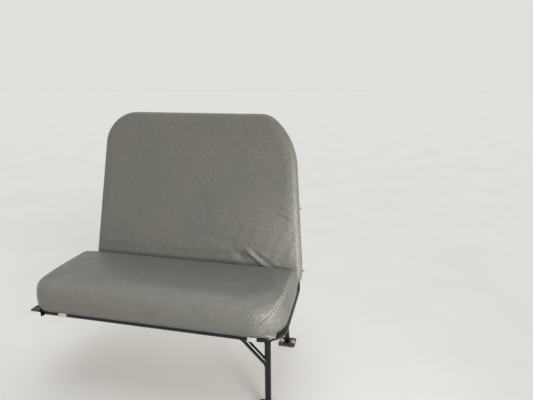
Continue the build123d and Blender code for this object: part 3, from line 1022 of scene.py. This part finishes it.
# Underneath, the cover is flat on its hem, and inside the edge it is up in the board, which shows
points = points_of(cushion_cover)
to_edge = np.linalg.norm(points[:, None, :2] - cushion_outline[None, ::4], axis=2).min(1)
under = points[:, 2] < CUSHION_LOW[2] + 4 * MM
step = ramp(to_edge - 6 * MM, 5 * MM)
points[:, 2] = np.where(under, hem_height + BOARD_SHOWS * step, points[:, 2])
new_points(cushion_cover, points)
corner = bell(np.linalg.norm(points - np.array([12, -195, 345]) * MM, axis=1), 60 * MM)
front_rim = np.hypot(points[:, 1] - CUSHION_LOW[1] - 22 * MM, points[:, 2] - CUSHION_RIM + 8 * MM)
under_edge = ramp(CUSHION_LOW[2] + 14 * MM - points[:, 2], 20 * MM)
# Paler along the front rim: scuffing, and a painted highlight where the rim catches light. Darker on the low
# edge and underneath: painted shade.
shade(cushion_cover, "wear_and_highlight", pale_wear_and_highlight + 0.16 * corner + 0.1 * bell(front_rim, 50 * MM))
shade(cushion_cover, "painted_shade", 0.25 * under_edge)
shade(cushion_cover, "creased", 0.15 + corner + 0.35 * bell(front_rim, 60 * MM))
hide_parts("cushion_pad")
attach(cushion_cover, "cushion")
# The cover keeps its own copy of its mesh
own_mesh(cushion_cover)

tree = surface_under(cushion_cover)
cushion_lap = make_mesh("cushion_seam", *many([lap(tree, even_path(GUSSET_SEAM[:-1], 5 * MM))]), vinyl)
# The gusset's lap is darkened all along: a painted shade line at the seam
shade(cushion_lap, "painted_shade", np.full(len(cushion_lap.data.vertices), 0.75))
cushion_threads = stitches(tree, even_path(GUSSET_SEAM[:-2], STITCH_PITCH), GUSSET_STITCH_OFFSET)
cushion_stitches = make_mesh("cushion_stitches", *many(cushion_threads), thread)
for piece in (cushion_lap, cushion_stitches):
    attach(piece, "cushion")
    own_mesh(piece)

# Corner pleat
# Below the gusset the cover's spare vinyl is drawn round the corner and folded over, two layers thick.
# It hangs a little outside the tube, with its point at the bend, cracked pale along the folded edge.
PLEAT_TOP = 312 * MM
PLEAT_REACH = 31.5 * MM
PLEAT_THICKNESS = 1.8 * MM
PLEAT_STEP = 2.4 * MM
TUBE_CLEARANCE = 1.7 * MM
COVER_CLEARANCE = 0.5 * MM
# Degrees round the corner from the front: where an edge starts, and how far it goes
PLEAT_UPPER_TURN = (3, 45)
PLEAT_LOWER_TURN = (-5, 57)
PLEAT_EDGE = np.array([
    # share of the way round the corner, height of the pleat's lower edge in mm
    (0, 303), (0.1, 302), (0.2, 299), (0.3, 295), (0.4, 291), (0.5, 289), (0.6, 287.5), (0.7, 285),
    (0.8, 281.5), (0.84, 289), (0.9, 297), (1, 303),
])


def round_corner(share, turn, centre, radius):
    """Points of an arc about an upright axis, a share of the way round it."""
    angle = np.radians(turn[0] + turn[1] * share)
    return np.concatenate([np.sin(angle), -np.cos(angle), 0 * share], -1) * radius + centre


# Closer together at the pleat's point
share = np.concatenate([np.linspace(0, 0.74, 30), np.linspace(0.76, 0.86, 11), np.linspace(0.88, 1, 6)])
share = share[None, :, None]
down = np.linspace(0, 1, 16)[:, None, None]
# The upper edge follows the cushion's corner, and the lower one the tube's bend, just outside it
corner_centre = (CUSHION_HIGH[0] - AISLE_CORNER_RADIUS, CUSHION_LOW[1] + AISLE_CORNER_RADIUS, 0)
upper = round_corner(share, PLEAT_UPPER_TURN, corner_centre, AISLE_CORNER_RADIUS + COVER_CLEARANCE)
lower_radius = FRONT_BEND_RADIUS + TUBE_RADIUS + TUBE_CLEARANCE
lower = round_corner(share, PLEAT_LOWER_TURN, bend_centre * (1, 1, 0), lower_radius)
edge_height = np.interp(share, *(PLEAT_EDGE.T * np.array([[1], [MM]])))
pleat_height = PLEAT_TOP - (PLEAT_TOP - edge_height) * down
# Outwards by ((top - height) / reach) ^ 1.6 of the way from the upper edge to the lower one
out = ((PLEAT_TOP - pleat_height) / PLEAT_REACH) ** 1.6
outward = unit(lower - upper)
# The folded edge runs straight down, then slants on to the pleat's point
folded_edge = np.where(down > 0.4, 0.42 + 0.38 * (down - 0.4) / 0.6, 0.42)
step = PLEAT_STEP * ramp(down - 0.25, 0.4) * ramp(share - folded_edge, 0.04)
face = upper + (lower - upper) * out + outward * step
face = face * (1, 1, 0) + pleat_height * np.array([0, 0, 1])
lining = face - outward * PLEAT_THICKNESS
pleat_rings = np.concatenate([face, lining[:, ::-1]], 1)
corner_pleat = make_mesh("corner_pleat", *many([pleat_rings]), vinyl)
along_fold = bell(share - folded_edge, 0.045) * ramp(down - 0.25, 0.4)
pale_mask = np.concatenate([along_fold, 0 * along_fold], 1)
shade(corner_pleat, "wear_and_highlight", 0.75 * pale_mask.ravel())
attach(corner_pleat, "cushion")
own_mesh(corner_pleat)

# Cover hem and staples
# The cover's raw edge, turned 43 mm under the board and stapled every 45 mm with zinc wire.
STAPLE_PITCH = 45 * MM
STAPLE_WIDTH = 11 * MM
STAPLE_WIRE = 0.5 * MM
STAPLE_INSET = 28 * MM
STAPLE_BEND = np.array([
    # share of half its width, height over the hem in mm
    (-1, 0.6), (-0.96, -0.25), (-0.8, -0.4), (0.8, -0.4), (0.96, -0.25), (1, 0.6),
])
coat("cushion_cover_hem", vinyl)
staple_ring = cushion_outline + inward_of(cushion_outline) * STAPLE_INSET
staple_ring = np.concatenate([staple_ring, np.full((OUTLINE_POINTS, 1), hem_height)], 1)
staple_line = even_path(staple_ring, STAPLE_PITCH)
up = np.array([0, 0, 1])
wire = np.full(len(STAPLE_BEND), STAPLE_WIRE)
staples = []
for place, forward in zip(staple_line, unit(np.gradient(staple_line, axis=0))):
    line = place + forward * (STAPLE_BEND[:, :1] * STAPLE_WIDTH / 2) + up * (STAPLE_BEND[:, 1:] * MM)
    staples.append(thread_round(line, np.cross(forward, up), up, wire))
hem_staples = make_mesh("hem_staples", *many(staples), zinc_steel)
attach(hem_staples, "cushion")

# Clips and hooks
# Two saddles moulded in off-white nylon drop over the front tube, and two zinc-plated steel straps hook
# under the rear one. Each is held up to the board with two pan-head screws.
SCREW_RADIUS = 4.2 * MM
SCREW_HEAD = 2.2 * MM
RECESS_ARM = 0.45 * MM
RECESS_DEPTH = 1.1 * MM
FLANGE_THICKNESS = 3 * MM
CLIP_SCREW_INSET = 9 * MM
HOOK_SCREWS = (12 * MM, 38 * MM)
# Nylon 6, injection-moulded, yellowed and grubby: smooth, slightly waxy
nylon = make_material("moulded_nylon", Roughness=0.45, Subsurface_Weight=0.1)
yellows = [(0.3, "#b4ad9b"), (0.6, "#d9d5c8")]
yellowing = add_node(nylon, "ValToRGB", {"Fac": noise(nylon, 12)}, yellows)
feed(nylon, Base_Color=yellowing, Subsurface_Radius=(0.004, 0.003, 0.002))


def pan_screw(place):
    """Rings of a pan-head screw that points up: a flattened dome with a cross recess sunk in its middle."""
    angle = circle(32)
    out = np.array([1, 1, 0.93, 0.8, 0.62, 0.5, 0.4, 0.3, 0.2, 0.1])
    drop = np.array([-0.1, 0.45, 0.8, 0.93, 0.98, 1, 1, 1, 1, 1]) * SCREW_HEAD
    flat_x = SCREW_RADIUS * out[:, None] * np.cos(angle)
    flat_y = SCREW_RADIUS * out[:, None] * np.sin(angle)
    arm = np.minimum(abs(flat_x), abs(flat_y)) < RECESS_ARM
    recess = RECESS_DEPTH * (arm & (out[:, None] < 0.55))
    rings = np.stack([flat_x, -flat_y, -(drop[:, None] - recess)], -1)
    return rings + np.array(place)


for name in ("clip_aisle", "clip_wall", "rear_hook_aisle", "rear_hook_wall"):
    low, middle, high = span(name)
    flange_bottom = high[2] - FLANGE_THICKNESS
    if name.startswith("clip"):
        coat(name, nylon)
        beside = (middle[0] - CLIP_SCREW_INSET, middle[0] + CLIP_SCREW_INSET)
        places = [(x, high[1] - CLIP_SCREW_INSET, flange_bottom) for x in beside]
    else:
        coat(name, zinc_steel)
        places = [(middle[0], low[1] + along, flange_bottom) for along in HOOK_SCREWS]
    screws = make_mesh(name + "_screws", *many([pan_screw(place) for place in places]), zinc_steel)
    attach(screws, "cushion")

# Floor and light
# A pale plain floor under soft even light, which comes mostly from the front and the aisle side.
FLOOR_REACH = 40
PALE = srgb("#f3f2ef")
FLOOR_GLOW = 0.2
# Strength of the background as light on the object, and as the camera sees it
SKY_LIGHT = 0.34
SKY_SEEN = 0.83
# The softbox's grid keeps its beam, this many degrees wide, off the floor beneath it
BEAM = 55
LAMPS = [
    # name, kind, place, aimed at, degrees or metres across, strength
    ("front_sky", "SUN", (2.2, -2.6, 1.7), (-0.4, 0, 0.5), 35, 1.3),
    ("high_sky", "SUN", (-0.6, 1.2, 3.6), (-0.4, 0, 0.5), 60, 1.0),
    ("low_softbox", "AREA", (1.5, -1.7, 0.7), (-0.05, 0, 0.45), 0.5, 2.6),
]
# Matt paint: even and pale
pale_paint = make_material("matt_floor_paint", Roughness=0.9, Emission_Color=PALE)
greys = [(0.3, "#dedcd7"), (0.7, "#e2e0dc")]
speckle = add_node(pale_paint, "ValToRGB", {"Fac": noise(pale_paint, 400)}, greys)


def seen_by_camera(holder):
    """1 for a ray that the camera sees or that a glossy or clear surface shows, else 0."""
    rays = add_node(holder, "LightPath").outputs
    seen = {0: rays["Is Camera Ray"], 1: rays["Is Glossy Ray"]}
    either = add_node(holder, "Math", seen, operation="MAXIMUM")
    return add_node(holder, "Math", {0: either, 1: rays["Is Transmission Ray"]}, operation="MAXIMUM")


glow = add_node(pale_paint, "Math", {0: seen_by_camera(pale_paint), 1: FLOOR_GLOW}, operation="MULTIPLY")
feed(pale_paint, Base_Color=speckle, Emission_Strength=glow)
corners = FLOOR_REACH * np.array([(-1, -1, 0), (1, -1, 0), (1, 1, 0), (-1, 1, 0)])
floor = make_mesh("studio_floor", corners, [[0, 1, 2, 3]], pale_paint, smooth=False)
world = bpy.data.worlds.new("studio")
bpy.context.scene.world = world
world.use_nodes = True
background = world.node_tree.nodes["Background"]
sky = {"Value": seen_by_camera(world), "To Min": SKY_LIGHT, "To Max": SKY_SEEN}
plug(world, PALE, background.inputs["Color"])
plug(world, add_node(world, "MapRange", sky), background.inputs["Strength"])
for name, kind, place, target, size, strength in LAMPS:
    lamp = bpy.data.lights.new(name, kind)
    lamp.energy = strength
    if kind == "SUN":
        lamp.angle = np.radians(size)
    else:
        lamp.shape = "SQUARE"
        lamp.size = size
        lamp.spread = np.radians(BEAM)
    stand = bpy.data.objects.new(name, lamp)
    stand.location = place
    stand.rotation_euler = (Vector(target) - Vector(place)).to_track_quat("-Z", "Y").to_euler()
    bpy.context.scene.collection.objects.link(stand)
